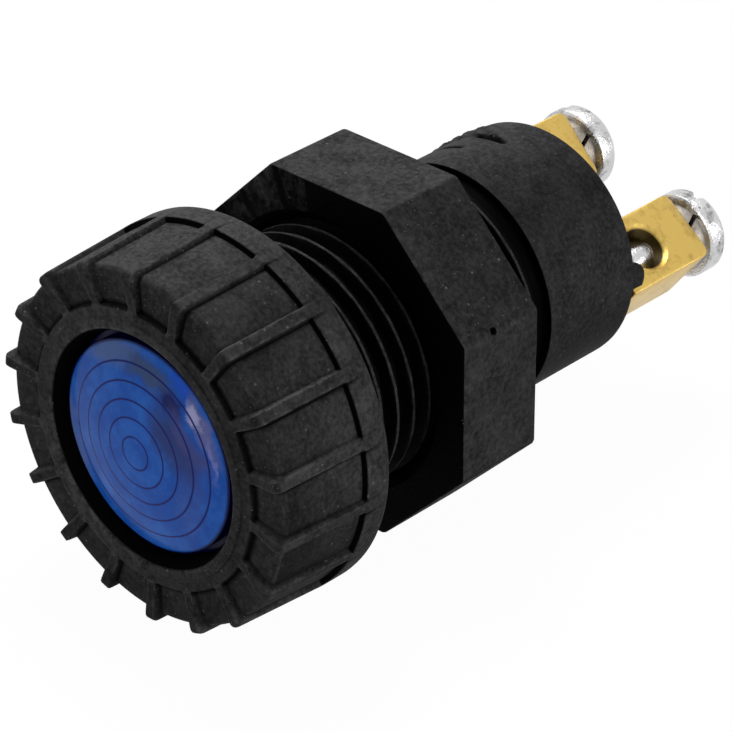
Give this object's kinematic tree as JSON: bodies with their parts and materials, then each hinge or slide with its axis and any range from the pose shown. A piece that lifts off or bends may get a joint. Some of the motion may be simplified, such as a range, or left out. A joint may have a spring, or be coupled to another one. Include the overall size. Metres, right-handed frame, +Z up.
{
  "type": "panel pilot light",
  "caption": "Round pilot light with a domed blue lens in a ribbed screw-on bezel, a threaded barrel with an octagonal lock nut, and brass screw terminals at the back.",
  "frame": {"origin": "on the barrel's axis, in the plane where the back of the bezel meets the front of the panel", "axes": "+Y along the barrel's axis from the lens to the terminals, +Z up with one flat of the nut level, +X to the right seen from the front"},
  "size_m": [0.032, 0.0603, 0.032],
  "materials": {
    "bezel_black": "satin, moulded",
    "housing_black": "satin, moulded",
    "nut_black": "satin, moulded",
    "blue_lens": "clear blue, moulded",
    "gasket_rubber": "matte",
    "phenolic": "satin",
    "brass_block": "bright, sawn and drilled",
    "brass_sheet": "rolled",
    "brass_screw": "turned",
    "nickel": "bright nickel plate",
    "spring_steel": "drawn wire",
    "bulb_glass": "clear",
    "cap_metal": "nickelled brass",
    "black_glass": "black glass bead",
    "solder": "soft, dull",
    "tungsten": "drawn"
  },
  "bodies": {
    "light_body": {"housing": "housing_black", "contact_base": "phenolic", "base_screws": "brass_screw", "lamp_socket": "brass_sheet", "socket_strap": "brass_sheet", "centre_strap": "brass_sheet", "strap_screws": "brass_screw", "contact_spring": "spring_steel", "terminal_block_1": "brass_block", "terminal_block_2": "brass_block"},
    "lens_carrier": {"lens": "blue_lens", "lens_gasket": "gasket_rubber"},
    "bezel_ring": {"bezel": "bezel_black"},
    "nut": {"lock_nut": "nut_black"},
    "washer_1": {"lock_washer_1": "nickel"},
    "screw_1": {"terminal_screw_1": "nickel"},
    "washer_2": {"lock_washer_2": "nickel"},
    "screw_2": {"terminal_screw_2": "nickel"},
    "bulb": {"bulb_glass": "bulb_glass", "bulb_cap": "cap_metal", "bulb_insulator": "black_glass", "bulb_contact": "solder", "bulb_stem": "bulb_glass", "bulb_filament": "tungsten"},
    "plunger": {"centre_contact": "brass_screw"}
  },
  "joints": [
    {"name": "bezel_advance", "type": "slide", "parent": "light_body", "child": "lens_carrier", "axis": [0, -1, 0], "range_m": [0, 0.0063]},
    {"name": "bezel_turn", "type": "hinge", "parent": "lens_carrier", "child": "bezel_ring", "pos_m": [0, 0, 0], "axis": [0, -1, 0], "range_deg": [0, 1260]},
    {"name": "nut_travel", "type": "slide", "parent": "light_body", "child": "nut", "axis": [0, 1, 0], "range_m": [-0.0083, 0.0055]},
    {"name": "washer_1_lift", "type": "slide", "parent": "light_body", "child": "washer_1", "axis": [0, 1, 0], "range_m": [0, 0.0018]},
    {"name": "screw_1_turn", "type": "hinge", "parent": "washer_1", "child": "screw_1", "pos_m": [0.00623, 0.048, -0.00187], "axis": [0, 1, 0], "range_deg": [0, 1080]},
    {"name": "washer_2_lift", "type": "slide", "parent": "light_body", "child": "washer_2", "axis": [0, 1, 0], "range_m": [0, 0.0018]},
    {"name": "screw_2_turn", "type": "hinge", "parent": "washer_2", "child": "screw_2", "pos_m": [-0.00623, 0.048, 0.00187], "axis": [0, 1, 0], "range_deg": [0, 1080]},
    {"name": "bulb_push", "type": "slide", "parent": "light_body", "child": "bulb", "axis": [0, 1, 0], "range_m": [0, 0.001], "stiffness_N_per_m": 500},
    {"name": "plunger_push", "type": "slide", "parent": "light_body", "child": "plunger", "axis": [0, 1, 0], "range_m": [0, 0.001], "deforming": ["contact_spring"]}
  ],
  "couplings": [
    {"joint": "bezel_advance", "follows": "bezel_turn", "m_per_rad": 0.00028648},
    {"joint": "screw_1_turn", "follows": "washer_1_lift", "rad_per_m": 10472},
    {"joint": "screw_2_turn", "follows": "washer_2_lift", "rad_per_m": 10472},
    {"joint": "plunger_push", "follows": "bulb_push", "ratio": 1}
  ]
}
